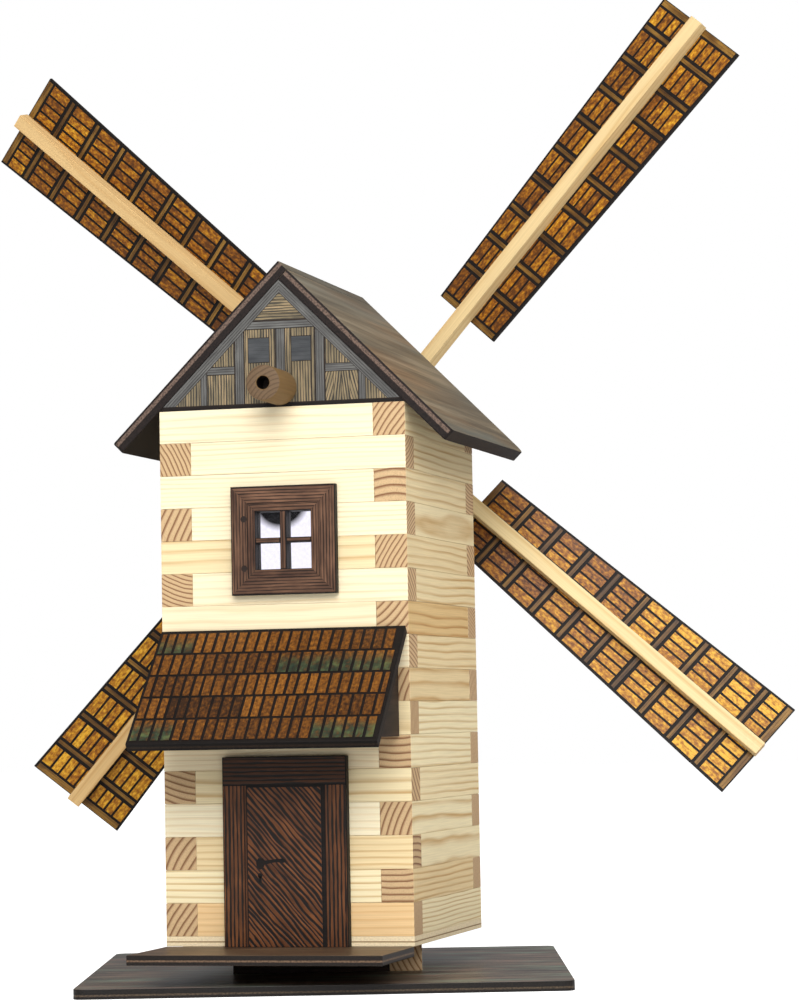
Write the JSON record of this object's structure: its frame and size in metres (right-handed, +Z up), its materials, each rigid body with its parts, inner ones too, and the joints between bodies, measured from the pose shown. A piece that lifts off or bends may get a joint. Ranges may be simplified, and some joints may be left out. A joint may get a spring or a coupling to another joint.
{
  "type": "wooden model windmill",
  "caption": "Wooden puzzle windmill: a log tower that turns on a square base, with a pitched ply roof, a porch and four pitched sails on an axle.",
  "frame": {"origin": "on the axis the tower turns about, level with the base board's underside", "axes": "+Z up along the tower's turning axis; the tower's door and knob face -Y; the sails stand behind it on the +Y side; +X is to the right of a person facing the door"},
  "size_m": [0.276, 0.1787, 0.3192],
  "materials": {
    "log_wood": "matt",
    "bare_wood": "matt",
    "light_ply": "matt",
    "stained_ply": "satin",
    "painted_ply": "matt",
    "roof_ply": "matt",
    "tile_ply": "satin",
    "dark_ply": "matt",
    "sail_ply": "satin",
    "stained_dowel": "matt",
    "pane_film": "gloss"
  },
  "bodies": {
    "base": {"base_board": "stained_ply", "foot_frame": "bare_wood", "swivel_post": "bare_wood", "retaining_ring": "bare_wood"},
    "mill": {"floor_board": "light_ply", "log_course_01": "log_wood", "log_course_02": "log_wood", "log_course_03": "log_wood", "log_course_04": "log_wood", "log_course_05": "log_wood", "log_course_06": "log_wood", "log_course_07": "log_wood", "log_course_08": "log_wood", "log_course_09": "log_wood", "log_course_10": "log_wood", "log_course_11": "log_wood", "log_course_12": "log_wood", "log_course_13": "log_wood", "log_course_14": "log_wood", "log_course_15": "log_wood", "log_course_16": "log_wood", "front_gable": "painted_ply", "rear_gable": "painted_ply", "roof_board_left": "roof_ply", "roof_board_right": "roof_ply", "door_board": "dark_ply", "window_frame": "dark_ply", "window_pane": "pane_film", "porch_board": "stained_ply", "porch_roof": "tile_ply", "porch_bracket_left": "dark_ply", "porch_bracket_right": "dark_ply"},
    "sails": {"sail_axle": "bare_wood", "front_knob": "stained_dowel", "rear_spacer": "stained_dowel", "sail_hub": "bare_wood", "sail_spar_1": "bare_wood", "sail_spar_2": "bare_wood", "sail_spar_3": "bare_wood", "sail_spar_4": "bare_wood", "sail_board_1": "sail_ply", "sail_board_2": "sail_ply", "sail_board_3": "sail_ply", "sail_board_4": "sail_ply"}
  },
  "joints": [
    {"name": "mill_swivel", "type": "hinge", "parent": "base", "child": "mill", "pos_m": [0, 0, 0], "axis": [0, 0, 1], "continuous": true},
    {"name": "sail_spin", "type": "hinge", "parent": "mill", "child": "sails", "pos_m": [0, 0, 0.1812], "axis": [0, 1, 0], "continuous": true}
  ]
}
